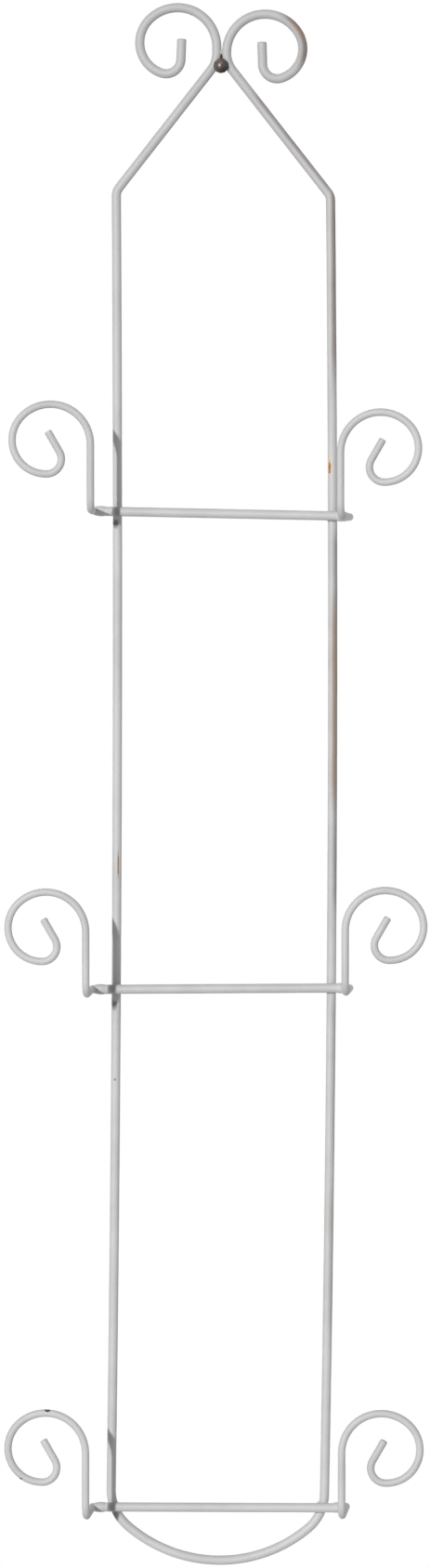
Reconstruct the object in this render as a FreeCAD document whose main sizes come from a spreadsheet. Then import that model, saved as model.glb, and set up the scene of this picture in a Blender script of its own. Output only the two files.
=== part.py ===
import FreeCAD, Part
import math
import os
import Sketcher

# Wall-hung wire plate rack, in millimetres.
# The origin is on the nail's axis in the plane of the wall: +X to the viewer's right, +Z up, front to -Y.
# Rods are drawn with flat sides, one diameter across, so that bars seat flat on the uprights.

# Driving sizes. Angles are in degrees.
SIZES = [
    ("rod_diameter", 6.0),          # frame and cross bars
    ("hook_diameter", 4.8),         # plate hooks
    ("upright_spacing", 138.6),     # axis to axis
    ("neck_gap", 0.3),              # clear space between the two necks
    ("neck_bend", 18.0),            # radius from rafter to neck
    ("left_neck", 3.6),             # straight length of each neck
    ("right_neck", 0.3),
    ("shoulder_bend", 9.0),         # radius from upright to rafter
    ("shoulder_depth", 83.2),       # nail down to the top of the left upright
    ("shoulder_drop", 3.4),         # the right shoulder sits lower by this
    ("frame_shift", 1.5),           # the uprights' middle lies this much right of the crest's
    ("frame_lean", 0.25),           # the frame hangs from its nail with its foot to the left
    ("left_bow", 2.1),              # the hand-bent uprights bow to the right by this in the middle
    ("right_bow", 3.0),
    ("scroll_big", 25.6),           # first and last radius of every scroll
    ("scroll_small", 9.5),
    ("crest_mid", 20.7),            # radius between them, on the frame's own scrolls
    ("hook_mid", 21.6),             # and on the hooks' scrolls
    ("crest_big_turn", 137.0),      # how far the frame's own scrolls follow each radius
    ("crest_mid_turn", 115.0),
    ("crest_small_turn", 106.0),
    ("left_crest_tail", 13.2),      # straight ends of the frame's scrolls
    ("right_crest_tail", 14.5),
    ("hook_big_turn", 137.0),       # how far the hooks' scrolls follow each radius
    ("hook_mid_turn", 135.0),
    ("hook_small_turn", 118.0),
    ("hook_tail", 15.0),            # straight end of the hooks' scrolls
    ("upper_bar_depth", 287.7),     # nail down to the upper bar
    ("upper_bar_drop", 3.0),        # the upper bar is lower by this at the right upright than at the left
    ("middle_bar_rise", 1.5),       # the other two are higher there by this
    ("lower_bar_rise", 1.2),
    ("upper_pitch", 306.0),         # upper bar down to the middle bar
    ("lower_pitch", 335.3),         # middle bar down to the lower bar
    ("bow_drop", 35.1),             # lower bar down to the lowest point of the bow
    ("bow_radius", 90.4),
    ("corner_radius", 30.0),        # from upright to bow
    ("upper_overhang", 13.75),      # arms of a tier, outside the uprights' axes
    ("middle_overhang", 14.0),
    ("lower_overhang", 13.05),
    ("lower_bar_left", 1.2),        # the lower bar and its hooks sit this much further left
    ("arm_depth", 38.0),            # bar to post, the room for a plate's rim
    ("arm_past_bar", 2.4),          # arm's end behind the bar's axis
    ("arm_bend", 8.0),              # radius from arm to post
    ("post_height", 40.3),          # arm up to the start of the scroll
    ("upper_toe", 2.9),             # each upper post stands this much further in than its arm's other end
    ("upper_left_lift", 1.6),       # how far each arm is welded above the axis of its bar
    ("upper_right_lift", -0.5),
    ("middle_left_lift", -1.6),
    ("middle_right_lift", -1.6),
    ("lower_left_lift", -0.8),
    ("lower_right_lift", -0.2),
    ("seat_gap", 0.1),              # between pieces that are welded together
    ("bar_weld_reach", 4.0),        # bead between a bar and an upright, at its widest
    ("bar_weld_depth", 3.2),        # the same bead from back to front
    ("hook_weld_reach", 3.8),       # bead round the end of a bar, at its widest
    ("hook_weld_length", 6.0),      # the same bead along the bar
    ("neck_weld_width", 2.2),       # bead in the valley between the necks
    ("neck_weld_height", 5.0),
    ("neck_weld_inset", 1.0),       # from the front of the necks back to the bead
    ("end_bevel", 0.8),             # filed edge of the rods' cut ends
    ("nail_head_diameter", 9.5),
    ("nail_head_height", 3.6),
    ("nail_head_rim", 0.9),         # straight edge of the head below its dome
    ("nail_neck_diameter", 3.0),    # between the head and the wall
    ("nail_shank_diameter", 2.6),   # in the wall
    ("nail_depth", 24.0),           # wall to tip
    ("nail_point", 4.5),
    ("nail_gap", 0.3),              # running room between the nail and the frame
]

# Worked-out sizes, as formulas on the driving ones and on the lines above them.
LAYOUT = [
    ("rod_radius", "Sizes.rod_diameter / 2"),
    ("hook_radius", "Sizes.hook_diameter / 2"),
    ("half_spacing", "Sizes.upright_spacing / 2"),
    ("neck_axis", "(Sizes.rod_diameter + Sizes.neck_gap) / 2"),
    # the nail's neck lies in the crotch, nail_gap from both neck bends
    ("crotch_reach", "Sizes.neck_bend + rod_radius + Sizes.nail_neck_diameter / 2 + Sizes.nail_gap"),
    ("neck_low", "sqrt(crotch_reach ^ 2 - (neck_axis + Sizes.neck_bend) ^ 2)"),
    # a rafter is the straight run between the neck's bend and the shoulder's
    ("roof_bends", "Sizes.neck_bend + Sizes.shoulder_bend"),
    ("left_reach", "half_spacing - Sizes.frame_shift - neck_axis - roof_bends"),
    ("right_reach", "half_spacing + Sizes.frame_shift - neck_axis - roof_bends"),
    ("left_top", "-Sizes.shoulder_depth"),
    ("right_top", "-Sizes.shoulder_depth - Sizes.shoulder_drop"),
    ("left_rafter", "sqrt(left_reach ^ 2 + (neck_low - left_top) ^ 2 - roof_bends ^ 2)"),
    ("right_rafter", "sqrt(right_reach ^ 2 + (neck_low - right_top) ^ 2 - roof_bends ^ 2)"),
    ("left_slope", "atan2(left_reach; neck_low - left_top) + atan2(roof_bends; left_rafter)"),
    ("right_slope", "atan2(right_reach; neck_low - right_top) + atan2(roof_bends; right_rafter)"),
    ("upper_z", "-Sizes.upper_bar_depth"),
    ("middle_z", "upper_z - Sizes.upper_pitch"),
    ("lower_z", "middle_z - Sizes.lower_pitch"),
    # the bow and its two corners fill the space between the uprights
    ("bow_turn", "asin((half_spacing - Sizes.corner_radius) / (Sizes.bow_radius - Sizes.corner_radius))"),
    ("bow_rise", "Sizes.bow_radius * (1 - cos(bow_turn)) + Sizes.corner_radius * cos(bow_turn)"),
    ("bow_low", "lower_z - Sizes.bow_drop"),
    ("upright_low", "bow_low + bow_rise"),
    ("left_upright", "left_top - upright_low"),
    ("right_upright", "right_top - upright_low"),
    # each upright is a shallow arc, which its corner and its shoulder turn less or more to meet
    ("left_arch", "4 * atan(2 * Sizes.left_bow / left_upright)"),
    ("right_arch", "4 * atan(2 * Sizes.right_bow / right_upright)"),
    ("side_bends", "Sizes.corner_radius + Sizes.shoulder_bend"),
    ("left_arc", "left_upright / (2 * sin(left_arch / 2)) - side_bends / 2"),
    ("right_arc", "right_upright / (2 * sin(right_arch / 2)) + side_bends / 2"),
    ("left_corner", "90 deg - bow_turn + left_arch / 2"),
    ("right_corner", "90 deg - bow_turn - right_arch / 2"),
    ("left_shoulder", "left_slope + left_arch / 2"),
    ("right_shoulder", "right_slope - right_arch / 2"),
    ("left_middle", "(left_top + upright_low) / 2"),
    ("right_middle", "(right_top + upright_low) / 2"),
    # the lower bar crosses the uprights where they already turn into the corners
    ("corner_drop", "max(0; upright_low - lower_z)"),
    ("lower_cross", "half_spacing - Sizes.corner_radius + sqrt(Sizes.corner_radius ^ 2 - corner_drop ^ 2)"),
    ("bar_out", "Sizes.rod_diameter + Sizes.seat_gap + rod_radius"),
    ("upper_x", "0"),
    ("middle_x", "0"),
    ("lower_x", "-Sizes.lower_bar_left"),
    ("upper_arm", "half_spacing + Sizes.upper_overhang"),
    ("middle_arm", "half_spacing + Sizes.middle_overhang"),
    ("lower_arm", "half_spacing + Sizes.lower_overhang"),
    ("upper_tilt", "atan2(Sizes.upper_bar_drop; Sizes.upright_spacing)"),
    ("middle_tilt", "-atan2(Sizes.middle_bar_rise; Sizes.upright_spacing)"),
    ("lower_tilt", "-atan2(Sizes.lower_bar_rise; Sizes.upright_spacing)"),
    ("toe_turn", "atan2(Sizes.upper_toe; Sizes.arm_depth)"),
    ("arm_run", "Sizes.arm_past_bar + Sizes.arm_depth - Sizes.arm_bend"),
    ("post_run", "Sizes.post_height - Sizes.arm_bend"),
    ("dome_height", "Sizes.nail_head_height - Sizes.nail_head_rim"),
    ("dome_radius", "((Sizes.nail_head_diameter / 2) ^ 2 + dome_height ^ 2) / (2 * dome_height)"),
]

TIERS = ("upper", "middle", "lower")
SIDES = {"left": -1, "right": 1}
ROD_FLAT_COUNT = 12                 # sides of the frame and the bars
WIRE_FLAT_COUNT = 8                 # sides of the hooks and the weld beads
HOOK_STEP = 12.0                    # the hooks bend in straight steps of this turn at most, in degrees
VOLUME_ERROR = 0.01                 # share by which a finished rod may miss section times length
UP = 90.0                           # headings in a path sketch, in degrees
RIGHTWARDS = 0.0
LEFTWARDS = 180.0

doc = FreeCAD.newDocument("plate_rack")
sizes = doc.addObject("Spreadsheet::Sheet", "Sizes")
for row, (name, number) in enumerate(SIZES, start=1):
    sizes.set("A%d" % row, name)
    sizes.set("B%d" % row, str(number))
    sizes.setAlias("B%d" % row, name)
doc.recompute()
layout = doc.addObject("Spreadsheet::Sheet", "Layout")
for row, (name, formula) in enumerate(LAYOUT, start=1):
    layout.set("A%d" % row, name)
    layout.set("B%d" % row, "=" + formula)
    layout.setAlias("B%d" % row, name)
    doc.recompute()


def value(expression):
    """A formula's number: millimetres, or degrees for an angle."""
    result = layout.evalExpression(expression)
    return result.Value if hasattr(result, "Value") else float(result)


def body(name):
    made = doc.addObject("PartDesign::Body", name)
    made.Label = name
    return made


def sketch_on(owner, name, plane, offset=None):
    """A sketch on one of the body's own planes, moved along that plane's normal by a formula."""
    made = owner.newObject("Sketcher::SketchObject", name)
    role = [feature for feature in owner.Origin.OriginFeatures if feature.Role == plane]
    made.AttachmentSupport = [(role[0], "")]
    made.MapMode = "FlatFace"
    if offset:
        made.setExpression("AttachmentOffset.Base.z", offset)
    return made


def pin_point(sketch, geometry, point, x_formula, y_formula):
    """Hold a point of the sketch at a place given by two formulas."""
    for kind, formula in (("DistanceX", x_formula), ("DistanceY", y_formula)):
        held = sketch.addConstraint(Sketcher.Constraint(kind, -1, 1, geometry, point, value(formula)))
        sketch.setExpression("Constraints[%d]" % held, formula)


def rod_section(sketch, x_formula, y_formula, radius_formula, flats):
    """A rod's section: a regular polygon that stands on a flat, with its corners on a ring."""
    corner_formula = "(%s) / cos(180 deg / %d)" % (radius_formula, flats)
    reach = value(corner_formula)
    centre = FreeCAD.Vector(value(x_formula), value(y_formula), 0)
    ring = sketch.addGeometry(Part.Circle(centre, FreeCAD.Vector(0, 0, 1), reach), True)
    pin_point(sketch, ring, 3, x_formula, y_formula)
    size = sketch.addConstraint(Sketcher.Constraint("Radius", ring, reach))
    sketch.setExpression("Constraints[%d]" % size, corner_formula)
    turns = [math.pi * (2 * count + 1) / flats for count in range(flats)]
    corners = [centre + FreeCAD.Vector(math.cos(turn), math.sin(turn), 0) * reach for turn in turns]
    sides = [Part.LineSegment(corners[count - 1], corners[count]) for count in range(flats)]
    edges = sketch.addGeometry(sides)
    rules = [Sketcher.Constraint("Vertical", edges[0])]
    for count, edge in enumerate(edges):
        rules.append(Sketcher.Constraint("Coincident", edges[count - 1], 2, edge, 1))
        rules.append(Sketcher.Constraint("PointOnObject", edge, 1, ring))
        if count:
            rules.append(Sketcher.Constraint("Equal", edges[0], edge))
    sketch.addConstraint(rules)


def rod_volume(length, radius_formula, flats):
    return length * flats * math.tan(math.pi / flats) * value(radius_formula) ** 2


def chords(sketch, arc, ends, centre, spokes):
    """Step round a guiding arc in equal chords. Returns their length in all."""
    points = [centre + spoke for spoke in spokes]
    lines = sketch.addGeometry([Part.LineSegment(start, finish) for start, finish in zip(points, points[1:])])
    rules = [
        Sketcher.Constraint("Coincident", arc, ends[0], lines[0], 1),
        Sketcher.Constraint("Coincident", arc, ends[1], lines[-1], 2),
    ]
    for before, after in zip(lines, lines[1:]):
        rules.append(Sketcher.Constraint("Coincident", before, 2, after, 1))
        rules.append(Sketcher.Constraint("PointOnObject", after, 1, arc))
        rules.append(Sketcher.Constraint("Equal", before, after))
    sketch.addConstraint(rules)
    return len(lines) * (points[1] - points[0]).Length


def bend_wire(sketch, x_formula, y_formula, heading, moves, step=None):
    """Draw a bent wire's centre line as tangent runs and bends, the way a bender works along a rod.

    A move is (length,) for a straight run, or (radius, turn, way) for a bend to the left (1) or right (-1).
    With a step, bends are chains of chords. Returns the line's length and its end point in the sketch.
    """
    place = FreeCAD.Vector(value(x_formula), value(y_formula), 0)
    course = math.radians(heading)
    total = 0.0
    before = None
    for move in moves:
        ahead = FreeCAD.Vector(math.cos(course), math.sin(course), 0)
        if len(move) == 1:
            length = value(move[0])
            finish = place + ahead * length
            piece = sketch.addGeometry(Part.LineSegment(place, finish))
            ends = (1, 2)
            bound = [("Distance", move[0], length)]
        else:
            radius, turn, way = value(move[0]), math.radians(value(move[1])), move[2]
            centre = place + FreeCAD.Vector(-ahead.y, ahead.x, 0) * (radius * way)
            first = course - way * math.pi / 2
            count = math.ceil(math.degrees(turn) / step) if step else 1
            angles = [first + way * turn * part / count for part in range(count + 1)]
            spokes = [FreeCAD.Vector(math.cos(angle), math.sin(angle), 0) * radius for angle in angles]
            finish = centre + spokes[-1]
            circle = Part.Circle(centre, FreeCAD.Vector(0, 0, 1), radius)
            arc = Part.ArcOfCircle(circle, min(first, angles[-1]), max(first, angles[-1]))
            piece = sketch.addGeometry(arc, step is not None)
            ends = (1, 2) if way > 0 else (2, 1)
            bound = [("Radius", move[0], radius), ("Angle", move[1], turn)]
            length = chords(sketch, piece, ends, centre, spokes) if step else radius * turn
            course += way * turn
        if before is None:
            pin_point(sketch, piece, ends[0], x_formula, y_formula)
            along, across = ("Vertical", "Horizontal") if heading == UP else ("Horizontal", "Vertical")
            if len(move) == 1:
                sketch.addConstraint(Sketcher.Constraint(along, piece))
            else:
                sketch.addConstraint(Sketcher.Constraint(across, piece, ends[0], piece, 3))
        else:
            sketch.addConstraint(Sketcher.Constraint("Tangent", before[0], before[1], piece, ends[0]))
        for kind, formula, number in bound:
            held = sketch.addConstraint(Sketcher.Constraint(kind, piece, number))
            sketch.setExpression("Constraints[%d]" % held, formula)
        before = (piece, ends[1])
        place = finish
        total += length
    return total, place


def pipe(owner, name, section, path, stepped=False):
    made = owner.newObject("PartDesign::AdditivePipe", name)
    made.Profile = section
    made.Spine = path
    made.Transition = "Right corner" if stepped else "Transformed"
    return made


def bevel_ends(owner, name, base, places):
    """Bevel the cut ends that lie at the places, given in the body's own frame."""
    doc.recompute()
    ends = []
    for place in places:
        near = [face.CenterOfMass.distanceToPoint(place) for face in base.Shape.Faces]
        ends.append("Face%d" % (near.index(min(near)) + 1))
    made = owner.newObject("PartDesign::Chamfer", name)
    made.Base = (base, ends)
    made.setExpression("Size", "Sizes.end_bevel")
    return made


def put(item, x_formula, y_formula, z_formula, axis=None, turn_formula=None):
    """Place an object by formulas, with an optional turn about an axis through its own origin."""
    item.setExpression("Placement.Base.x", x_formula)
    item.setExpression("Placement.Base.y", y_formula)
    item.setExpression("Placement.Base.z", z_formula)
    if axis:
        item.Placement = FreeCAD.Placement(FreeCAD.Vector(), FreeCAD.Rotation(axis, value(turn_formula)))
        item.setExpression("Placement.Rotation.Angle", turn_formula)


def frame_moves(side):
    """Half of the frame, from the lowest point of the bow to the tail of the scroll."""
    inwards = SIDES[side]
    return [
        ("Sizes.bow_radius", "Layout.bow_turn", inwards),
        ("Sizes.corner_radius", "Layout.%s_corner" % side, inwards),
        ("Layout.%s_arc" % side, "Layout.%s_arch" % side, 1),
        ("Sizes.shoulder_bend", "Layout.%s_shoulder" % side, inwards),
        ("Layout.%s_rafter" % side,),
        ("Sizes.neck_bend", "Layout.%s_slope" % side, -inwards),
        ("Sizes.%s_neck" % side,),
        ("Sizes.scroll_big", "Sizes.crest_big_turn", -inwards),
        ("Sizes.crest_mid", "Sizes.crest_mid_turn", -inwards),
        ("Sizes.scroll_small", "Sizes.crest_small_turn", -inwards),
        ("Sizes.%s_crest_tail" % side,),
    ]


def frame_rod():
    """The frame: one rod against the wall, bent both ways from the middle of the bow."""
    made = body("frame_rod")
    section = sketch_on(made, "frame_section", "YZ_Plane", "Sizes.frame_shift")
    rod_section(section, "-Layout.rod_radius", "Layout.bow_low", "Layout.rod_radius", ROD_FLAT_COUNT)
    tails = []
    run = 0.0
    for side, heading in (("right", RIGHTWARDS), ("left", LEFTWARDS)):
        path = sketch_on(made, "frame_%s_path" % side, "XZ_Plane", "Layout.rod_radius")
        length, tail = bend_wire(path, "Sizes.frame_shift", "Layout.bow_low", heading, frame_moves(side))
        half = pipe(made, "frame_%s_half" % side, section, path)
        tails.append(FreeCAD.Vector(tail.x, -value("Layout.rod_radius"), tail.y))
        run += length
    bevel_ends(made, "frame_ends", half, tails)
    put(made, "0", "0", "0", FreeCAD.Vector(0, 1, 0), "Sizes.frame_lean")
    return made, rod_volume(run, "Layout.rod_radius", ROD_FLAT_COUNT)


def bar(tier):
    """A straight cross bar in front of the uprights, a little off level."""
    made = body(tier + "_bar")
    section = sketch_on(made, tier + "_bar_section", "YZ_Plane")
    rod_section(section, "0", "0", "Layout.rod_radius", ROD_FLAT_COUNT)
    rod = made.newObject("PartDesign::Pad", tier + "_bar_rod")
    rod.Profile = section
    rod.Midplane = True
    length = "2 * (Layout.%s_arm - Layout.hook_radius - Sizes.seat_gap)" % tier
    rod.setExpression("Length", length)
    half = value(length) / 2
    ends = [FreeCAD.Vector(-half, 0, 0), FreeCAD.Vector(half, 0, 0)]
    bevel_ends(made, tier + "_bar_ends", rod, ends)
    tilt = (FreeCAD.Vector(0, 1, 0), "Layout.%s_tilt" % tier)
    put(made, "Layout.%s_x" % tier, "-Layout.bar_out", "Layout.%s_z" % tier, *tilt)
    return made, rod_volume(2 * half, "Layout.rod_radius", ROD_FLAT_COUNT)


def hook(tier, side):
    """A plate hook: the arm comes forward, turns up into the post and ends in an outward scroll."""
    outwards = SIDES[side]
    name = "%s_%s_hook" % (tier, side)
    made = body(name)
    arm_section = sketch_on(made, name + "_arm_section", "XZ_Plane", "-Sizes.arm_past_bar")
    rod_section(arm_section, "0", "0", "Layout.hook_radius", WIRE_FLAT_COUNT)
    arm_path = sketch_on(made, name + "_arm_path", "YZ_Plane")
    arm_length, _ = bend_wire(arm_path, "Sizes.arm_past_bar", "0", LEFTWARDS, [
        ("Layout.arm_run",),
        ("Sizes.arm_bend", "90 deg", -1),
        ("Layout.post_run",),
    ], HOOK_STEP)
    pipe(made, name + "_arm", arm_section, arm_path, stepped=True)
    scroll_section = sketch_on(made, name + "_scroll_section", "XY_Plane", "Sizes.post_height")
    rod_section(scroll_section, "0", "-Sizes.arm_depth", "Layout.hook_radius", WIRE_FLAT_COUNT)
    scroll_path = sketch_on(made, name + "_scroll_path", "XZ_Plane", "Sizes.arm_depth")
    scroll_length, tip = bend_wire(scroll_path, "0", "Sizes.post_height", UP, [
        ("Sizes.scroll_big", "Sizes.hook_big_turn", -outwards),
        ("Sizes.hook_mid", "Sizes.hook_mid_turn", -outwards),
        ("Sizes.scroll_small", "Sizes.hook_small_turn", -outwards),
        ("Sizes.hook_tail",),
    ], HOOK_STEP)
    scroll = pipe(made, name + "_scroll", scroll_section, scroll_path, stepped=True)
    ends = [
        FreeCAD.Vector(0, value("Sizes.arm_past_bar"), 0),
        FreeCAD.Vector(tip.x, -value("Sizes.arm_depth"), tip.y),
    ]
    bevel_ends(made, name + "_ends", scroll, ends)
    x, z = arm_place(tier, outwards)
    toe = (None, None)
    if tier == "upper":
        toe = (FreeCAD.Vector(0, 0, 1), "%d * Layout.toe_turn" % -outwards)
    put(made, x, "-Layout.bar_out", "%s + Sizes.%s_%s_lift" % (z, tier, side), *toe)
    return made, rod_volume(arm_length + scroll_length, "Layout.hook_radius", WIRE_FLAT_COUNT)


def arm_place(tier, outwards):
    """Where the axis of a bar meets the arm of a hook."""
    x = "Layout.{0}_x + {1} * Layout.{0}_arm * cos(Layout.{0}_tilt)".format(tier, outwards)
    z = "Layout.{0}_z - {1} * Layout.{0}_arm * sin(Layout.{0}_tilt)".format(tier, outwards)
    return x, z


def trimmed(name, blank, rods):
    """A bead's blank with the rods that it joins cut out of it."""
    made = blank
    for count, rod in enumerate(rods, start=1):
        cut = doc.addObject("Part::Cut", "%s_cut_%d" % (name, count))
        cut.Base = made
        cut.Tool = rod
        made = cut
    return made


def collar(name, wide, length, place, heading, rods):
    """A bead that tapers along a heading, from its wide end at a place until it runs out into a rod."""
    blank = body(name + "_blank")
    foot = sketch_on(blank, name + "_foot", "XY_Plane")
    rod_section(foot, "0", "0", wide, WIRE_FLAT_COUNT)
    tip = sketch_on(blank, name + "_tip", "XY_Plane", length)
    rod_section(tip, "0", "0", "Layout.rod_radius - Sizes.seat_gap", WIRE_FLAT_COUNT)
    taper = blank.newObject("PartDesign::AdditiveLoft", name + "_taper")
    taper.Profile = foot
    taper.Sections = [tip]
    taper.Ruled = True
    blank.Placement.Rotation = FreeCAD.Rotation(FreeCAD.Vector(0, 0, 1), heading)
    put(blank, *place)
    return trimmed(name, blank, rods)


def group(name, beads):
    made = doc.addObject("Part::Compound", name)
    made.Label = name
    made.Links = beads
    return made


def crossing(tier, side):
    """How far right of the uprights' middle a bar crosses an upright, on its arc or on its corner."""
    if tier == "lower":
        return "%d * Layout.lower_cross" % SIDES[side]
    depth = "(Layout.{0}_z - Layout.{1}_middle) / (Layout.{1}_upright / 2)".format(tier, side)
    return "%d * Layout.half_spacing + Sizes.%s_bow * (1 - (%s) ^ 2)" % (SIDES[side], side, depth)


def bar_welds(tier, made):
    """The beads where a bar crosses the two uprights, wide on the upright and narrow on the bar."""
    fall = "Layout.half_spacing * tan(Layout.%s_tilt)" % tier
    forward = FreeCAD.Vector(0, -1, 0)
    beads = []
    for side, outwards in SIDES.items():
        name = "%s_%s_bar_bead" % (tier, side)
        place = (
            "Sizes.frame_shift + Layout.%s_z * sin(Sizes.frame_lean) + %s" % (tier, crossing(tier, side)),
            "Sizes.bar_weld_depth / 2 - Sizes.rod_diameter - Sizes.seat_gap / 2",
            "Layout.%s_z - %d * %s" % (tier, outwards, fall),
        )
        rods = [made["frame_rod"], made[tier + "_bar"]]
        beads.append(collar(name, "Sizes.bar_weld_reach", "Sizes.bar_weld_depth", place, forward, rods))
    return group(tier + "_bar_welds", beads)


def hook_welds(tier, made):
    """The beads round the two ends of a bar, wide at the hook's arm."""
    beads = []
    for side, outwards in SIDES.items():
        name = "%s_%s_hook_bead" % (tier, side)
        x, z = arm_place(tier, outwards)
        place = ("%s - %d * Layout.hook_radius / 2" % (x, outwards), "-Layout.bar_out", z)
        rods = [made[tier + "_bar"], made["%s_%s_hook" % (tier, side)]]
        inwards = FreeCAD.Vector(-outwards, 0, 0)
        beads.append(collar(name, "Sizes.hook_weld_reach", "Sizes.hook_weld_length", place, inwards, rods))
    return group(tier + "_hook_welds", beads)


def neck_weld(made):
    """The bead that fills the valley between the two necks, above the nail."""
    blank = doc.addObject("Part::Box", "neck_bead_blank")
    blank.setExpression("Length", "Sizes.neck_weld_width")
    blank.setExpression("Width", "Sizes.rod_diameter - 2 * Sizes.neck_weld_inset")
    blank.setExpression("Height", "Sizes.neck_weld_height")
    put(blank, "-Sizes.neck_weld_width / 2", "Sizes.neck_weld_inset - Sizes.rod_diameter",
        "Layout.neck_low + Sizes.right_neck - Sizes.neck_weld_height / 2")
    return group("neck_weld", [trimmed("neck_bead", blank, [made["frame_rod"]])])


def nail():
    """The nail: domed head, neck in the rack's crotch, shank and point in the wall."""
    made = body("nail")
    outline = sketch_on(made, "nail_outline", "YZ_Plane")
    head_back = "-Sizes.rod_diameter - Sizes.nail_gap"
    head_front = head_back + " - Sizes.nail_head_height"
    rim_front = head_back + " - Sizes.nail_head_rim"
    corners = [
        (rim_front, "Sizes.nail_head_diameter / 2"),
        (head_back, "Sizes.nail_head_diameter / 2"),
        (head_back, "Sizes.nail_neck_diameter / 2"),
        ("0", "Sizes.nail_neck_diameter / 2"),
        ("0", "Sizes.nail_shank_diameter / 2"),
        ("Sizes.nail_depth - Sizes.nail_point", "Sizes.nail_shank_diameter / 2"),
        ("Sizes.nail_depth", "0"),
        (head_front, "0"),
    ]
    points = [FreeCAD.Vector(value(along), value(out), 0) for along, out in corners]
    for count, (start, finish) in enumerate(zip(points, points[1:])):
        line = outline.addGeometry(Part.LineSegment(start, finish))
        pin_point(outline, line, 1, *corners[count])
        if count:
            outline.addConstraint(Sketcher.Constraint("Coincident", line - 1, 2, line, 1))
    pin_point(outline, line, 2, *corners[-1])
    centre = FreeCAD.Vector(points[-1].x + value("Layout.dome_radius"), 0, 0)
    circle = Part.Circle(centre, FreeCAD.Vector(0, 0, 1), value("Layout.dome_radius"))
    rim = points[0] - centre
    dome = outline.addGeometry(Part.ArcOfCircle(circle, math.atan2(rim.y, rim.x), math.pi))
    outline.addConstraint(Sketcher.Constraint("Coincident", dome, 1, 0, 1))
    outline.addConstraint(Sketcher.Constraint("Coincident", dome, 2, line, 2))
    outline.addConstraint(Sketcher.Constraint("PointOnObject", dome, 3, -1))
    turned = made.newObject("PartDesign::Revolution", "nail_turned")
    turned.Profile = outline
    turned.ReferenceAxis = (outline, ["H_Axis"])
    turned.Angle = 360
    return made


def build():
    """Every piece by its name, and the volume that each bent or straight rod should have."""
    made = {}
    expected = {}
    made["frame_rod"], expected["frame_rod"] = frame_rod()
    for tier in TIERS:
        made[tier + "_bar"], expected[tier + "_bar"] = bar(tier)
        for side in SIDES:
            name = "%s_%s_hook" % (tier, side)
            made[name], expected[name] = hook(tier, side)
    made["nail"] = nail()
    doc.recompute()
    made["neck_weld"] = neck_weld(made)
    for tier in TIERS:
        made[tier + "_bar_welds"] = bar_welds(tier, made)
        made[tier + "_hook_welds"] = hook_welds(tier, made)
    doc.recompute()
    return made, expected


def check(made, expected):
    for item in doc.Objects:
        if "Invalid" in item.State or "Error" in item.State:
            raise RuntimeError("%s failed to build: %s" % (item.Name, item.State))
    for name, item in made.items():
        if item.Shape.isNull() or not item.Shape.isValid() or not item.Shape.Solids:
            raise RuntimeError("%s has no valid solid" % name)
        print("%-20s %d solid(s) %10.1f mm3" % (name, len(item.Shape.Solids), item.Shape.Volume))
    for name, volume in expected.items():
        if abs(made[name].Shape.Volume / volume - 1) > VOLUME_ERROR:
            raise RuntimeError("%s: %.1f mm3, not %.1f" % (name, made[name].Shape.Volume, volume))


pieces, rod_volumes = build()
check(pieces, rod_volumes)
os.makedirs("parts", exist_ok=True)
for label, piece in pieces.items():
    piece.Shape.exportStep("parts/%s.step" % label)
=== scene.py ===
import math

import bpy
from mathutils import Matrix, Vector


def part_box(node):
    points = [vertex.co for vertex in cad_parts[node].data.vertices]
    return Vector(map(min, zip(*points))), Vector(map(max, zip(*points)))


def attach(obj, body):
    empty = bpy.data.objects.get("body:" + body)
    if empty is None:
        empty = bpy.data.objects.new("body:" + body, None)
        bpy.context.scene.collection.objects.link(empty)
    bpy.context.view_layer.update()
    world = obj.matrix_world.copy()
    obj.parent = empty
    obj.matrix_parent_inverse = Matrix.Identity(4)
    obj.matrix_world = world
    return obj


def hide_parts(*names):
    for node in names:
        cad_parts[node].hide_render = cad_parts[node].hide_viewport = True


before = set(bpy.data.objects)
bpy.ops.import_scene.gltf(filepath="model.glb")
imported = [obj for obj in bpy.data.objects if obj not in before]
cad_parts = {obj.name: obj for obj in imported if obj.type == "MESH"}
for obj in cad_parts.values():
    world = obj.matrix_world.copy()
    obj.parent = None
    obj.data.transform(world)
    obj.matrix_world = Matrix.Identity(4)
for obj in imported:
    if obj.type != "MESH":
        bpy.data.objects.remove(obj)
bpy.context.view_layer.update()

# Wall-hung wire plate rack: round enamelled rods over the flat-sided frame, in metres.
right = Vector((1, 0, 0))
back = Vector((0, 1, 0))
up = Vector((0, 0, 1))
tiers = ("upper", "middle", "lower")
sides = {"left": -1, "right": 1}
print("frame loaded:", len(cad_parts), "nodes")


# Shader maths: a socket that adds Math nodes when it is used in an expression
class Value:
    def __init__(self, tree, socket):
        self.tree = tree
        self.socket = socket

    def put(self, target):
        self.tree.links.new(self.socket, target)

    def math(self, operation, first, second=None):
        made = self.tree.nodes.new("ShaderNodeMath")
        made.operation = operation
        for slot, item in enumerate((first, second)):
            if isinstance(item, Value):
                item.put(made.inputs[slot])
            elif item is not None:
                made.inputs[slot].default_value = item
        return Value(self.tree, made.outputs[0])

    def __add__(self, other):
        return self.math("ADD", self, other)

    def __radd__(self, other):
        return self.math("ADD", other, self)

    def __sub__(self, other):
        return self.math("SUBTRACT", self, other)

    def __rsub__(self, other):
        return self.math("SUBTRACT", other, self)

    def __mul__(self, other):
        return self.math("MULTIPLY", self, other)

    def __rmul__(self, other):
        return self.math("MULTIPLY", other, self)

    def max(self, other):
        return self.math("MAXIMUM", self, other)


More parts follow.
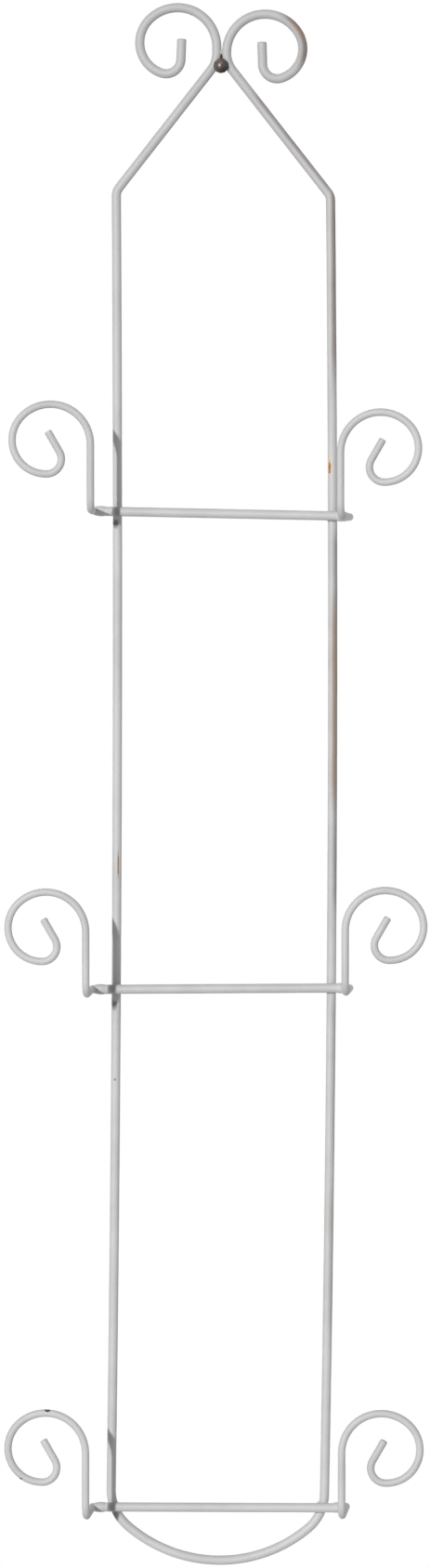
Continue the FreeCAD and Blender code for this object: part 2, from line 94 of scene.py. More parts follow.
# A material or world under construction
class Finish:
    def __init__(self, block):
        self.block = block
        block.use_nodes = True
        self.tree = block.node_tree
        self.tree.nodes.clear()

    def node(self, kind, settings=None, inputs=None, output=0):
        made = self.tree.nodes.new(kind)
        for name, setting in (settings or {}).items():
            setattr(made, name, setting)
        for name, item in (inputs or {}).items():
            if isinstance(item, Value):
                item.put(made.inputs[name])
            else:
                made.inputs[name].default_value = item
        return Value(self.tree, made.outputs[output]) if made.outputs else made

    def noise(self, coords, scale, detail=3.0, roughness=0.55):
        sockets = {"Vector": coords, "Scale": scale, "Detail": detail, "Roughness": roughness}
        return self.node("ShaderNodeTexNoise", {}, sockets)

    def step(self, value, low, high):            # 0 below low, 1 above high, smooth between
        settings = {"interpolation_type": "SMOOTHSTEP", "clamp": True}
        sockets = {"Value": value, "From Min": low, "From Max": high}
        return self.node("ShaderNodeMapRange", settings, sockets)

    def mix(self, factor, first, second):        # of two colours
        settings = {"data_type": "RGBA", "clamp_factor": True}
        return self.node("ShaderNodeMix", settings, {0: factor, 6: first, 7: second}, 2)

    def band(self, value, low, high, soft):      # 1 from low to high, with soft ends
        return self.step(value, low - soft, low) * (1.0 - self.step(value, high, high + soft))

    def vector(self, operation, inputs, output="Vector"):
        return self.node("ShaderNodeVectorMath", {"operation": operation}, inputs, output)

    def away(self, coords, place):               # distance from a place
        return self.vector("DISTANCE", {0: coords, 1: place}, "Value")

    def along(self, coords, heading):            # distance from the origin along a heading
        return self.vector("DOT_PRODUCT", {0: coords, 1: heading}, "Value")

    def patch(self, coords, mark, ragged, solid):    # 1 in an oval mark, which fades from solid to its edge
        offset = self.vector("SUBTRACT", {0: coords, 1: mark["place"]})
        share = self.vector("DIVIDE", {0: offset, 1: mark["half"]})
        reach = self.vector("LENGTH", {0: share}, "Value")
        return 1.0 - self.step(reach + mark["ragged"] * ragged, solid, 1.0)


# Rods: one ring of points in edit mode, carried along runs and round bends as a bender works
class Bender:
    def __init__(self, name, rod, place, heading, cut=True):
        self.rod = rod
        self.place = Vector(place)
        self.heading = Vector(heading).normalized()
        self.radius = rod["radius"] * (rod["endRings"][-1][1] if cut else 1.0)
        turned = self.heading.to_track_quat("Z", "Y").to_euler()
        bpy.ops.object.select_all(action="DESELECT")
        bpy.ops.mesh.primitive_circle_add(
            vertices=rod["sides"], radius=self.radius, location=self.place, rotation=turned)
        self.piece = bpy.context.object
        self.piece.name = name
        bpy.ops.object.transform_apply(location=True, rotation=True, scale=True)
        bpy.ops.object.mode_set(mode="EDIT")
        bpy.ops.mesh.select_all(action="SELECT")
        if cut:
            self.turnProfile([
                (rod["endBevel"] * (1.0 - depth), rod["radius"] * ratio)
                for depth, ratio in reversed(rod["endRings"][:-1])])

    def turnProfile(self, rings):                # rings of (distance from here, radius), as on a lathe
        gone = 0.0
        for distance, radius in rings:
            bpy.ops.mesh.extrude_region_move(
                TRANSFORM_OT_translate={"value": self.heading * (distance - gone)})
            self.place += self.heading * (distance - gone)
            ratio = radius / self.radius
            bpy.ops.transform.resize(value=(ratio, ratio, ratio), center_override=self.place)
            gone = distance
            self.radius = radius

    def run(self, length):
        count = max(1, math.ceil(length / self.rod["ringStep"]))
        bpy.ops.mesh.extrude_repeat(steps=count, offset=self.heading * (length / count))
        self.place += self.heading * length

    def bend(self, radius, turn, axis):          # turns the heading about axis by the right-hand rule
        centre = self.place + axis.cross(self.heading) * radius
        count = math.ceil(max(radius * turn / self.rod["ringStep"], turn / self.rod["bendStep"]))
        bpy.ops.mesh.spin(steps=count, angle=-turn, center=centre, axis=axis)  # spin turns the other way
        turned = Matrix.Rotation(turn, 3, axis)
        self.place = centre + turned @ (self.place - centre)
        self.heading = turned @ self.heading

    def follow(self, moves, axis):               # (length,) runs straight, (radius, degrees, way) bends
        for move in moves:
            if len(move) == 1:
                self.run(move[0])
            else:
                self.bend(move[0], math.radians(move[1]), axis * move[2])

    def cutEnd(self):                            # the filed edge of a cut end
        self.turnProfile([
            (self.rod["endBevel"] * depth, self.rod["radius"] * ratio)
            for depth, ratio in self.rod["endRings"][1:]])

    def done(self):
        bpy.ops.object.mode_set(mode="OBJECT")
        return self.piece


meshFinish = {"mergeDistance": 0.00001, "smoothAngle": math.radians(50)}


def picked(*pieces):                             # these alone are selected, and the first is active
    bpy.ops.object.select_all(action="DESELECT")
    for piece in pieces:
        piece.select_set(True)
    bpy.context.view_layer.objects.active = pieces[0]


def joined(pieces):
    picked(*pieces)
    bpy.ops.object.join()
    return pieces[0]


def closed(piece):                               # merge seams, cap the ends, face outwards
    picked(piece)
    bpy.ops.object.mode_set(mode="EDIT")
    bpy.ops.mesh.select_all(action="SELECT")
    bpy.ops.mesh.remove_doubles(threshold=meshFinish["mergeDistance"])
    bpy.ops.mesh.fill_holes(sides=0)
    bpy.ops.mesh.select_all(action="SELECT")
    bpy.ops.mesh.normals_make_consistent(inside=False)
    bpy.ops.object.mode_set(mode="OBJECT")
    return piece


def lumpy(piece, lumps):                         # uneven paint or metal: Displace along the normals
    cloud = bpy.data.textures.new(piece.name + "Lumps", lumps["pattern"])
    cloud.noise_scale = lumps["size"]
    picked(piece)
    push = piece.modifiers.new("lumps", "DISPLACE")
    push.texture = cloud
    push.texture_coords = "LOCAL"
    push.strength = lumps["height"]
    push.mid_level = lumps["middle"]
    bpy.ops.object.modifier_apply(modifier=push.name)
    return piece


def smoothed(piece, levels):
    picked(piece)
    soften = piece.modifiers.new("soften", "SUBSURF")
    soften.levels = levels
    soften.render_levels = levels
    bpy.ops.object.modifier_apply(modifier=soften.name)
    return piece


def finished(piece, node, body, material):
    piece.data.materials.clear()
    piece.data.materials.append(material)
    picked(piece)
    bpy.ops.object.shade_smooth_by_angle(angle=meshFinish["smoothAngle"])
    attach(piece, body)
    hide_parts(node)
    return piece


# Frame rod, bars and hooks
endRings = [(0.0, 1.0), (0.45, 0.96), (0.8, 0.86), (1.0, 0.7)]    # (depth, radius) of a filed end
frameRod = {
    "radius": 0.0030, "sides": 24, "ringStep": 0.0028, "bendStep": math.radians(7),
    "endBevel": 0.0008, "endRings": endRings,
}
hookWire = {
    "radius": 0.0024, "sides": 20, "ringStep": 0.0024, "bendStep": math.radians(7),
    "endBevel": 0.0008, "endRings": endRings,
}
paintRuns = {"pattern": "CLOUDS", "size": 0.012, "height": 0.00012, "middle": 0.5}
frameShape = {
    "uprightSpacing": 0.1386, "frameShift": 0.0015, "lean": math.radians(0.25),
    "leftArch": 0.0021, "rightArch": 0.0030, "archSteps": 12, "archBend": 0.5,
    "neckGap": 0.0003, "neckBend": 0.018, "leftNeck": 0.0036, "rightNeck": 0.0003,
    "shoulderBend": 0.009, "shoulderDepth": 0.0832, "shoulderDrop": 0.0034,
    "leftScroll": [(0.0256, 137.0), (0.0207, 115.0), (0.0095, 106.0)],          # (radius, degrees)
    "rightScroll": [(0.0245, 80.0), (0.0254, 70.0), (0.0195, 102.0), (0.0095, 106.0)],
    "leftTail": 0.0132, "rightTail": 0.0145,
    "bowRadius": 0.0904, "cornerRadius": 0.030, "bowDepth": 0.9641,
    "nailNeck": 0.0030, "nailGap": 0.0003,
}
tierShape = {                                    # root, foot and scroll: a hook's heights on its bar
    "upper": {"middle": 0.0, "height": -0.2877, "overhang": 0.01375, "drop": 0.0030, "toe": 0.0029,
              "left": {"root": 0.0002, "foot": 0.0004, "scroll": 0.0016},
              "right": {"root": -0.0005, "foot": -0.0005, "scroll": -0.0005}},
    "middle": {"middle": 0.0, "height": -0.5937, "overhang": 0.0140, "drop": -0.0015, "toe": 0.0,
               "left": {"root": 0.0002, "foot": -0.0016, "scroll": -0.0016},
               "right": {"root": -0.0002, "foot": -0.0011, "scroll": -0.0016}},
    "lower": {"middle": -0.0012, "height": -0.9290, "overhang": 0.01305, "drop": -0.0012, "toe": 0.0,
              "left": {"root": -0.0002, "foot": -0.0020, "scroll": -0.0008},
              "right": {"root": 0.0006, "foot": -0.0010, "scroll": -0.0002}},
}
hookShape = {
    "armDepth": 0.038, "armPastBar": 0.0024, "armBend": 0.008, "postHeight": 0.0403,
    "scroll": [(0.0256, 137.0), (0.0216, 135.0), (0.0095, 118.0)],              # (radius, degrees)
    "tail": 0.015, "seatGap": 0.0001,
}


def frameMoves(side, shape):                     # from the middle of the bow up to a scroll's tail
    rodRadius = frameRod["radius"]
    way = sides[side]
    half = shape["uprightSpacing"] / 2
    neckAxis = rodRadius + shape["neckGap"] / 2
    crotch = shape["neckBend"] + rodRadius + shape["nailNeck"] / 2 + shape["nailGap"]
    neckLow = math.sqrt(crotch ** 2 - (neckAxis + shape["neckBend"]) ** 2)
    bends = shape["neckBend"] + shape["shoulderBend"]
    reach = half + way * shape["frameShift"] - neckAxis - bends
    top = -shape["shoulderDepth"] - (shape["shoulderDrop"] if side == "right" else 0.0)
    rafter = math.sqrt(reach ** 2 + (neckLow - top) ** 2 - bends ** 2)
    slope = math.degrees(math.atan2(reach, neckLow - top) + math.atan2(bends, rafter))
    bowArm = shape["bowRadius"] - shape["cornerRadius"]
    bowTurn = math.asin((half - shape["cornerRadius"]) / bowArm)
    bowRise = shape["bowRadius"] - bowArm * math.cos(bowTurn)
    upright = top + shape["bowDepth"] - bowRise
    tip = 2 * math.atan(2 * shape[side + "Arch"] / upright)      # the upright's slant at its two ends
    archLength = (upright / math.sin(tip) + way * (shape["cornerRadius"] + shape["shoulderBend"])) * tip
    kink = math.degrees(2 * tip) / shape["archSteps"]
    piece = archLength / shape["archSteps"] - shape["archBend"] * math.radians(kink)
    arch = [(piece / 2,)] + [(shape["archBend"], kink, 1), (piece,)] * shape["archSteps"]
    arch[-1] = (piece / 2,)
    return [
        (shape["bowRadius"], math.degrees(bowTurn), way),
        (shape["cornerRadius"], 90.0 - math.degrees(bowTurn + way * tip), way),
        *arch,
        (shape["shoulderBend"], slope - way * math.degrees(tip), way),
        (rafter,),
        (shape["neckBend"], slope, -way),
        (shape[side + "Neck"],),
        *((radius, turn, -way) for radius, turn in shape[side + "Scroll"]),
        (shape[side + "Tail"] - frameRod["endBevel"],),
    ]


def makeFrameRod(material):
    shape = frameShape
    lean = Matrix.Rotation(shape["lean"], 3, back)
    bowMiddle = lean @ Vector((shape["frameShift"], -frameRod["radius"], -shape["bowDepth"]))
    halves = []
    for side, outwards in sides.items():
        bender = Bender("frameRodHalf", frameRod, bowMiddle, lean @ (right * outwards), cut=False)
        bender.follow(frameMoves(side, shape), -back)
        bender.cutEnd()
        halves.append(bender.done())
    rod = lumpy(closed(joined(halves)), paintRuns)
    rod.name = "frameRod"
    return finished(rod, "frame_rod", "rack", material)


def tierPlaces(tier):                            # the bar's direction and the arms' ends on it
    shape = tierShape[tier]
    tilt = math.atan2(shape["drop"], frameShape["uprightSpacing"])
    along = Matrix.Rotation(tilt, 3, back) @ right
    middle = Vector((shape["middle"], -(3 * frameRod["radius"] + hookShape["seatGap"]), shape["height"]))
    armX = frameShape["uprightSpacing"] / 2 + shape["overhang"]
    return along, middle, armX


def makeBar(tier, material):
    along, middle, armX = tierPlaces(tier)
    half = armX - hookWire["radius"] - hookShape["seatGap"]
    bender = Bender(tier + "Bar", frameRod, middle - along * half, along)
    bender.run(2 * (half - frameRod["endBevel"]))
    bender.cutEnd()
    bar = lumpy(closed(bender.done()), paintRuns)
    return finished(bar, tier + "_bar", "rack", material)


def makeHook(tier, side, material):
    along, middle, armX = tierPlaces(tier)
    outwards = sides[side]
    shape = hookShape
    toe = math.atan2(tierShape[tier]["toe"], shape["armDepth"]) * -outwards
    turned = Matrix.Rotation(toe, 3, up)
    heights = tierShape[tier][side]
    weld = middle + along * (armX * outwards)
    droop = math.atan2(heights["root"] - heights["foot"], shape["armDepth"])    # of the arm, forwards
    forwards = turned @ Vector((0, -math.cos(droop), -math.sin(droop)))
    start = weld + up * heights["root"] - forwards * shape["armPastBar"]
    bender = Bender(tier + side.capitalize() + "Hook", hookWire, start, forwards)
    level = shape["armDepth"] - shape["armBend"] * (1 + math.sin(droop))
    bender.run(shape["armPastBar"] + level / math.cos(droop) - hookWire["endBevel"])
    bender.bend(shape["armBend"], math.radians(90) + droop, turned @ -right)
    bender.follow([
        (weld.z + heights["scroll"] + shape["postHeight"] - bender.place.z,),
        *((radius, turn, outwards) for radius, turn in shape["scroll"]),
        (shape["tail"] - hookWire["endBevel"],),
    ], turned @ back)
    bender.cutEnd()
    hook = lumpy(closed(bender.done()), paintRuns)
    return finished(hook, "%s_%s_hook" % (tier, side), "rack", material)


# Weld beads under the paint
weldBead = {"sides": 20, "startShare": 0.8, "smoothLevels": 1}
weldLumps = {"pattern": "CLOUDS", "size": 0.0045, "height": 0.00025, "middle": 0.5}
hookBead = {                                     # (from inside the arm towards the bar's middle, radius)
    "rings": [(0.0003, 0.0021), (0.0012, 0.0025), (0.0024, 0.0029), (0.0038, 0.0032),
              (0.0054, 0.0034), (0.0070, 0.0034), (0.0086, 0.0032), (0.0098, 0.0028)],
    "inArm": 0.0006, "onBar": 0.0092,
}
barBead = {                                      # (forwards from the upright's axis, radius)
    "rings": [(0.0008, 0.0036), (0.0016, 0.0039), (0.0024, 0.0039), (0.0032, 0.0036), (0.0040, 0.0028)],
}
neckBead = {                                     # swells: (share of the height, share of the half width)
    "low": 0.0047, "high": 0.0113, "half": 0.0009, "depth": 0.0019, "startShare": 0.45,
    "swells": [(0.08, 0.75), (0.25, 1.0), (0.5, 1.1), (0.75, 1.0), (0.92, 0.75)],
}
neckLumps = dict(weldLumps, height=0.0002)


def bead(name, place, heading, rings):
    rod = dict(weldBead, radius=rings[0][1] * weldBead["startShare"])
    bender = Bender(name, rod, place, heading, cut=False)
    bender.turnProfile(rings)
    return lumpy(smoothed(closed(bender.done()), weldBead["smoothLevels"]), weldLumps)


def makeHookWelds(tier, material):
    along, middle, armX = tierPlaces(tier)
    beads = []
    for side, outwards in sides.items():
        root = up * tierShape[tier][side]["root"]
        place = middle + along * (outwards * (armX + hookBead["inArm"])) + root
        onBar = middle + along * (outwards * (armX - hookBead["onBar"]))
        beads.append(bead(tier + "HookBead", place, (onBar - place).normalized(), hookBead["rings"]))
    welds = joined(beads)
    welds.name = tier + "HookWelds"
    return finished(welds, tier + "_hook_welds", "rack", material)


def makeBarWelds(tier, material):
    low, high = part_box(tier + "_bar_welds")
    along, middle, _ = tierPlaces(tier)
    reach = (high.z - low.z) / 2
    beads = []
    for x in (low.x + reach, high.x - reach):
        height = (middle + along * ((x - middle.x) / along.x)).z
        place = Vector((x, -frameRod["radius"], height))
        beads.append(bead(tier + "BarBead", place, -back, barBead["rings"]))
    welds = joined(beads)
    welds.name = tier + "BarWelds"
    return finished(welds, tier + "_bar_welds", "rack", material)


def makeNeckWeld(material):
    height = neckBead["high"] - neckBead["low"]
    place = Vector((0, -frameRod["radius"], neckBead["low"]))
    rod = dict(weldBead, radius=neckBead["half"] * neckBead["startShare"])
    bender = Bender("neckWeld", rod, place, up, cut=False)
    bender.turnProfile([(height * part, neckBead["half"] * swell) for part, swell in neckBead["swells"]])
    bpy.ops.mesh.select_all(action="SELECT")
    deep = neckBead["depth"] / neckBead["half"]
    bpy.ops.transform.resize(value=(1, deep, 1), center_override=place)
    weld = lumpy(smoothed(closed(bender.done()), weldBead["smoothLevels"]), neckLumps)
    return finished(weld, "neck_weld", "rack", material)


# Nail
nailShape = {
    "headRadius": 0.00475, "headHeight": 0.0036, "rim": 0.0009, "headBack": -0.0063,
    "neckRadius": 0.0015, "shankRadius": 0.0013, "depth": 0.024, "point": 0.0045, "tip": 0.0002,
    "domeRings": 10, "sides": 40, "rimRound": 0.3, "edgeShare": 0.94, "step": 0.0001,
}
hammerMarks = {"pattern": "CLOUDS", "size": 0.0021, "height": 0.0007, "middle": 0.5}


def makeNail(material):
    shape = nailShape
    dome = shape["headHeight"] - shape["rim"]
    curve = (shape["headRadius"] ** 2 + dome ** 2) / (2 * dome)
    edge = math.asin(shape["headRadius"] / curve)
    rings = []
    for count in range(1, shape["domeRings"] + 1):
        angle = edge * count / shape["domeRings"]
        rings.append((curve * (1 - math.cos(angle)), curve * math.sin(angle)))
    rings.append((shape["headHeight"] - shape["rim"] * shape["rimRound"], shape["headRadius"]))
    rings.append((shape["headHeight"], shape["headRadius"] * shape["edgeShare"]))
    rings.append((shape["headHeight"], shape["neckRadius"]))
    front = Vector((0, shape["headBack"] - shape["headHeight"], 0))
    rod = {"radius": shape["tip"], "sides": shape["sides"]}
    bender = Bender("nailHead", rod, front, back, cut=False)
    bender.turnProfile(rings)
    head = lumpy(closed(bender.done()), hammerMarks)
    wall = -shape["headBack"]                    # from the head's back to the wall
    shank = [
        (shape["step"], shape["neckRadius"]),
        (wall, shape["neckRadius"]),
        (wall + shape["step"], shape["shankRadius"]),
        (wall + shape["depth"] - shape["point"], shape["shankRadius"]),
        (wall + shape["depth"], shape["tip"]),
    ]
    start = Vector((0, shape["headBack"], 0)) - back * shape["rim"]
    bender = Bender("nailShank", dict(rod, radius=shape["neckRadius"]), start, back, cut=False)
    bender.turnProfile([(distance + shape["rim"], radius) for distance, radius in shank])
    nail = joined([head, closed(bender.done())])
    nail.name = "hangingNail"
    return finished(nail, "nail", "nail", material)


# Finishes
# some of these colours stand for painted shade: on the shaded right-hand edges, at the left crossings and
# in the crevice above the nail
enamelColours = {
    "paint": (0.632, 0.634, 0.643, 1), "dull": (0.575, 0.575, 0.578, 1),
    "crestGrey": (0.50, 0.495, 0.50, 1), "bared": (0.72, 0.63, 0.48, 1),
    "stain": (0.34, 0.255, 0.19, 1), "stainAndShade": (0.25, 0.205, 0.18, 1),
    "paintedShade": (0.20, 0.198, 0.193, 1), "paintedShadow": (0.09, 0.086, 0.082, 1),
    "rustRun": (0.34, 0.205, 0.13, 1), "rust": (0.42, 0.18, 0.055, 1),
    "chipsAndShade": (0.075, 0.06, 0.04, 1),
}
enamelGrain = {
    "broadScale": 35.0, "fineScale": 420.0, "peelScale": 900.0, "peelDetail": 2.0,
    "dullFrom": 0.35, "dullTo": 0.7, "roughness": 0.40, "broadRough": 0.14, "fineRough": 0.06,
    "peelStrength": 0.06, "peelDepth": 0.0002, "ior": 1.45,
}
# the enamel turns darker towards the top of the crest
crestDarkening = {"low": -0.32, "high": 0.05, "strength": 0.5}
sideStainAndShade = {                                    # brown stains, and painted shade on the shaded right side, in runs on the right of the right rafter and upright
    "hooksFrom": 0.077, "hooksSoft": 0.002, "barsFrom": -0.0062, "barsSoft": 0.0002,
    "streakLow": 0.7, "streakGain": 0.6,
    "runs": [
        {"towards": (0.786, 0, 0.618), "from": 0.0030, "to": 0.0060, "low": -0.075, "high": -0.025,
         "soft": 0.012, "strength": 0.6, "colour": "stainAndShade"},
        {"towards": (1, 0, 0), "from": 0.0696, "to": 0.0730, "low": -0.18, "high": -0.085, "soft": 0.035,
         "strength": 0.88, "colour": "stainAndShade"},
        {"towards": (1, 0, 0), "from": 0.0708, "to": 0.0744, "low": -0.53, "high": -0.31, "soft": 0.02,
         "strength": 0.62, "colour": "paintedShade"},
        {"towards": (1, 0, 0), "from": 0.0696, "to": 0.0732, "low": -0.69, "high": -0.61, "soft": 0.02,
         "strength": 0.28, "colour": "paintedShade"},
        {"towards": (1, 0, 0), "from": 0.0698, "to": 0.0744, "low": -0.455, "high": -0.365, "soft": 0.035,
         "strength": 1.1, "colour": "stain"},
        {"towards": (1, 0, 0), "from": 0.0684, "to": 0.0714, "low": -0.80, "high": -0.74, "soft": 0.035,
         "strength": 0.3, "colour": "stain"},
    ],
}
scrollStainAndShade = {                                  # rust, and a brown stain with painted shade, on the outside of the right scroll
    "eye": (0.0318, -0.003, 0.0108), "soft": 0.012,
    "arcs": [
        {"ring": (0.0182, 0.0226), "across": (0.034, 0.050), "low": -0.005,
         "strength": 0.95, "colour": "stainAndShade"},
        {"ring": (0.0206, 0.0230), "across": (0.040, 0.047), "low": 0.012,
         "strength": 0.8, "colour": "rustRun"},
    ],
}
markSolid = {"sharp": 0.75, "soft": 0.2}         # share of a mark inside its fading edge
rustMarks = [                                    # a chip on the right upright, a line and a speck left
    {"place": (0.0700, -0.0058, -0.2580), "half": (0.0009, 0.0025, 0.0050), "ragged": 2.2},
    {"place": (-0.0668, -0.0055, -0.5140), "half": (0.0005, 0.0025, 0.0100), "ragged": 1.2},
    {"place": (-0.0690, -0.0060, -0.6530), "half": (0.0007, 0.0015, 0.0009), "ragged": 0.8},
]
baredMark = {                                    # paint round the rust chip
    "place": (0.0708, -0.0058, -0.2565), "half": (0.0015, 0.0030, 0.0075), "ragged": 1.8,
}
chipAndShadeMarks = [                                    # painted shade in the crevice above the nail, chips on the lower left hook
    {"place": (0.0, -0.0030, 0.0056), "half": (0.0009, 0.0080, 0.0030), "ragged": 0.4},
    {"place": (-0.1078, -0.0500, -0.8626), "half": (0.0022, 0.0060, 0.0014), "ragged": 0.8},
    {"place": (-0.1257, -0.0500, -0.9070), "half": (0.0016, 0.0060, 0.0010), "ragged": 0.8},
]
paintedCornerShadows = [                                   # painted shadows at the left crossings: first upright, then bars
    {"place": (-0.0684, -0.0055, -0.2940), "half": (0.0034, 0.0045, 0.0040),
     "ragged": 0.5, "strength": 0.85},
    {"place": (-0.0692, -0.0055, -0.6052), "half": (0.0026, 0.0045, 0.0046),
     "ragged": 0.5, "strength": 0.85},
    {"place": (-0.0692, -0.0055, -0.9355), "half": (0.0036, 0.0045, 0.0050),
     "ragged": 0.5, "strength": 0.6},
    {"place": (-0.0668, -0.0110, -0.2870), "half": (0.0034, 0.0050, 0.0050),
     "ragged": 0.5, "strength": 0.55},
    {"place": (-0.0692, -0.0110, -0.5940), "half": (0.0034, 0.0050, 0.0050),
     "ragged": 0.5, "strength": 0.5},
    {"place": (-0.0698, -0.0110, -0.9295), "half": (0.0034, 0.0050, 0.0050),
     "ragged": 0.5, "strength": 0.5},
]


def makeEnamel():
    finish = Finish(bpy.data.materials.new("agedEnamel"))
    coords = finish.node("ShaderNodeTexCoord", output="Object")
    axes = finish.tree.nodes.new("ShaderNodeSeparateXYZ")
    coords.put(axes.inputs[0])
    x, y, z = (Value(finish.tree, socket) for socket in axes.outputs)
    grain = enamelGrain
    broad = finish.noise(coords, grain["broadScale"])
    fine = finish.noise(coords, grain["fineScale"])
    ragged = fine - 0.5                          # noise about zero
    dull = finish.step(broad, grain["dullFrom"], grain["dullTo"])
    colour = finish.mix(dull, enamelColours["paint"], enamelColours["dull"])
    # darker towards the top of the crest
    crest = crestDarkening["strength"] * finish.step(z, crestDarkening["low"], crestDarkening["high"])
    colour = finish.mix(crest, colour, enamelColours["crestGrey"])
    barsEnd = sideStainAndShade["barsFrom"] + sideStainAndShade["barsSoft"]
    hooksEnd = sideStainAndShade["hooksFrom"] + sideStainAndShade["hooksSoft"]
    behind = finish.step(y, sideStainAndShade["barsFrom"], barsEnd)                     # on the frame rod alone
    behind = behind * (1.0 - finish.step(x, sideStainAndShade["hooksFrom"], hooksEnd))
    streaks = sideStainAndShade["streakLow"] + sideStainAndShade["streakGain"] * broad
    # the grey runs are painted shade on the shaded right side, the taupe runs a brown stain darkened as
    # painted shade, the others a brown stain
    for run in sideStainAndShade["runs"]:
        side = finish.step(finish.along(coords, run["towards"]), run["from"], run["to"])
        side = side * finish.band(z, run["low"], run["high"], run["soft"])
        share = run["strength"] * side * behind * streaks
        colour = finish.mix(share, colour, enamelColours[run["colour"]])
    fromEye = finish.away(coords, scrollStainAndShade["eye"])
    # the taupe arc is a brown stain with painted shade on the scroll's shaded outer edge, the other a rust
    # run
    for arc in scrollStainAndShade["arcs"]:
        outer = finish.step(fromEye, *arc["ring"]) * finish.step(x, *arc["across"])
        outer = outer * finish.step(z, arc["low"], arc["low"] + scrollStainAndShade["soft"])
        colour = finish.mix(arc["strength"] * outer, colour, enamelColours[arc["colour"]])
    # wear and rust marks, and painted shade in the crevice above the nail
    for name, marks in (("bared", [baredMark]), ("rust", rustMarks), ("chipsAndShade", chipAndShadeMarks)):
        for mark in marks:
            wearAndShade = finish.patch(coords, mark, ragged, markSolid["sharp"])
            colour = finish.mix(wearAndShade, colour, enamelColours[name])
    # painted shadows in the corners of the left crossings
    for mark in paintedCornerShadows:
        shadowShare = mark["strength"] * finish.patch(coords, mark, ragged, markSolid["soft"])
        colour = finish.mix(shadowShare, colour, enamelColours["paintedShadow"])
    peel = finish.noise(coords, grain["peelScale"], grain["peelDetail"])
    sockets = {"Strength": grain["peelStrength"], "Distance": grain["peelDepth"], "Height": peel}
    bump = finish.node("ShaderNodeBump", {}, sockets)
    roughness = grain["roughness"] + grain["broadRough"] * broad + grain["fineRough"] * fine
    sockets = {"Base Color": colour, "Roughness": roughness, "Normal": bump, "IOR": grain["ior"]}
    shader = finish.node("ShaderNodeBsdfPrincipled", {}, sockets)
    finish.node("ShaderNodeOutputMaterial", {}, {"Surface": shader})
    return finish.block


bronzeColours = {
    "dark": (0.070, 0.054, 0.048, 1), "brown": (0.20, 0.160, 0.145, 1), "nailShade": (0.022, 0.018, 0.016, 1),
}
bronzeGrain = {
    "scale": 500.0, "brownFrom": 0.35, "brownTo": 0.7,
    "roughness": 0.26, "patchRough": 0.16, "metallic": 0.4,
}
nailShadeSide = {"towards": (0.8, 0.0, -0.6), "from": -0.0012, "to": 0.0040}      # painted shade on the head's lower right


def makeBronze():
    finish = Finish(bpy.data.materials.new("darkBronze"))
    coords = finish.node("ShaderNodeTexCoord", output="Object")
    grain = bronzeGrain
    patches = finish.noise(coords, grain["scale"])
    brown = finish.step(patches, grain["brownFrom"], grain["brownTo"])
    colour = finish.mix(brown, bronzeColours["dark"], bronzeColours["brown"])
    # painted shade: the head darkens towards its lower right
    lowerRight = finish.along(coords, nailShadeSide["towards"])
    nailShade = finish.step(lowerRight, nailShadeSide["from"], nailShadeSide["to"])
    colour = finish.mix(nailShade, colour, bronzeColours["nailShade"])
    roughness = grain["roughness"] + grain["patchRough"] * patches
    sockets = {"Base Color": colour, "Roughness": roughness, "Metallic": grain["metallic"]}
    shader = finish.node("ShaderNodeBsdfPrincipled", {}, sockets)
    finish.node("ShaderNodeOutputMaterial", {}, {"Surface": shader})
    return finish.block


enamel = makeEnamel()
bronze = makeBronze()
makeFrameRod(enamel)
print("frame rod bent")
for tier in tiers:
    makeBar(tier, enamel)
    for side in sides:
        makeHook(tier, side, enamel)
print("bars and hooks bent")
makeNeckWeld(enamel)
for tier in tiers:
    makeHookWelds(tier, enamel)
    makeBarWelds(tier, enamel)
print("welds made")
makeNail(bronze)
print("nail made")

# Stage, light and camera
stageFloor = {"height": -1.35, "half": 2.5, "colour": (0.9, 0.9, 0.9, 1), "glow": 0.8}
ambientLight = (0.30, 0.30, 0.30, 1)
studioWhite = (1, 1, 1, 1)
studioLamps = {                                  # left and up: where a lamp stands, angle: how soft it is
    "windowKey": {"left": math.radians(20), "up": math.radians(11),
                  "strength": 2.1, "angle": math.radians(2)},
    "roomFill": {"left": math.radians(-80), "up": math.radians(5),
                 "strength": 0.25, "angle": math.radians(40)},
}
photoCamera = {
    "place": (0.389, -4.226, -0.3612), "turnLeft": math.radians(5.32), "tiltDown": math.radians(1.36),
    "lens": 151.0, "sensor": 36.0,
}


def seenDirectly(finish):                        # camera, glossy and transmission rays
    path = finish.tree.nodes.new("ShaderNodeLightPath")
    camera, glossy, through = (Value(finish.tree, path.outputs[name]) for name in
                               ("Is Camera Ray", "Is Glossy Ray", "Is Transmission Ray"))
    return camera.max(glossy).max(through)


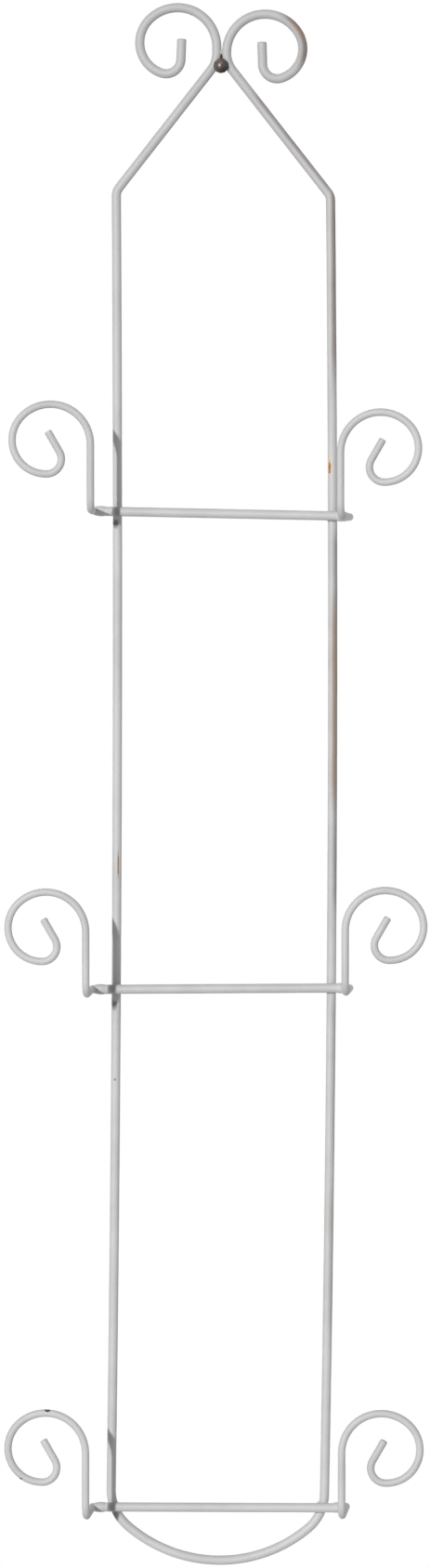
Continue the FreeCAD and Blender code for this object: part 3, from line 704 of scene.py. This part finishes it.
def makeWorld():
    world = bpy.data.worlds.new("studio")
    bpy.context.scene.world = world
    finish = Finish(world)
    ambient = finish.node("ShaderNodeBackground", {}, {"Color": ambientLight, "Strength": 1.0})
    white = finish.node("ShaderNodeBackground", {}, {"Color": studioWhite, "Strength": 1.0})
    shader = finish.node("ShaderNodeMixShader", {}, {0: seenDirectly(finish), 1: ambient, 2: white})
    finish.node("ShaderNodeOutputWorld", {}, {"Surface": shader})


def makeFloor():
    finish = Finish(bpy.data.materials.new("paleFloor"))
    diffuse = finish.node("ShaderNodeBsdfDiffuse", {}, {"Color": stageFloor["colour"]})
    white = finish.node("ShaderNodeEmission", {}, {"Color": studioWhite, "Strength": 1.0})
    glow = stageFloor["glow"] * seenDirectly(finish)
    shader = finish.node("ShaderNodeMixShader", {}, {0: glow, 1: diffuse, 2: white})
    finish.node("ShaderNodeOutputMaterial", {}, {"Surface": shader})
    bpy.ops.object.select_all(action="DESELECT")
    bpy.ops.mesh.primitive_plane_add(
        size=2 * stageFloor["half"], location=(0, 0, stageFloor["height"]))
    floor = bpy.context.object
    floor.name = "paleFloor"
    floor.data.materials.append(finish.block)


def makeLamp(name):
    shape = studioLamps[name]
    lamp = bpy.data.lights.new(name, "SUN")
    lamp.energy = shape["strength"]
    lamp.angle = shape["angle"]
    holder = bpy.data.objects.new(name, lamp)
    bpy.context.scene.collection.objects.link(holder)
    level = math.cos(shape["up"])
    shines = Vector((
        math.sin(shape["left"]) * level, math.cos(shape["left"]) * level, -math.sin(shape["up"])))
    holder.rotation_mode = "QUATERNION"
    holder.rotation_quaternion = shines.to_track_quat("-Z", "Y")


def makeCamera():
    lens = bpy.data.cameras.new("photoCamera")
    lens.lens = photoCamera["lens"]
    lens.sensor_width = photoCamera["sensor"]
    camera = bpy.data.objects.new("photoCamera", lens)
    bpy.context.scene.collection.objects.link(camera)
    camera.location = photoCamera["place"]
    camera.rotation_euler = (math.radians(90) - photoCamera["tiltDown"], 0, photoCamera["turnLeft"])
    bpy.context.scene.camera = camera


makeWorld()
makeFloor()
for name in studioLamps:
    makeLamp(name)
makeCamera()
bpy.context.scene.view_settings.view_transform = "Standard"
print("stage lit")
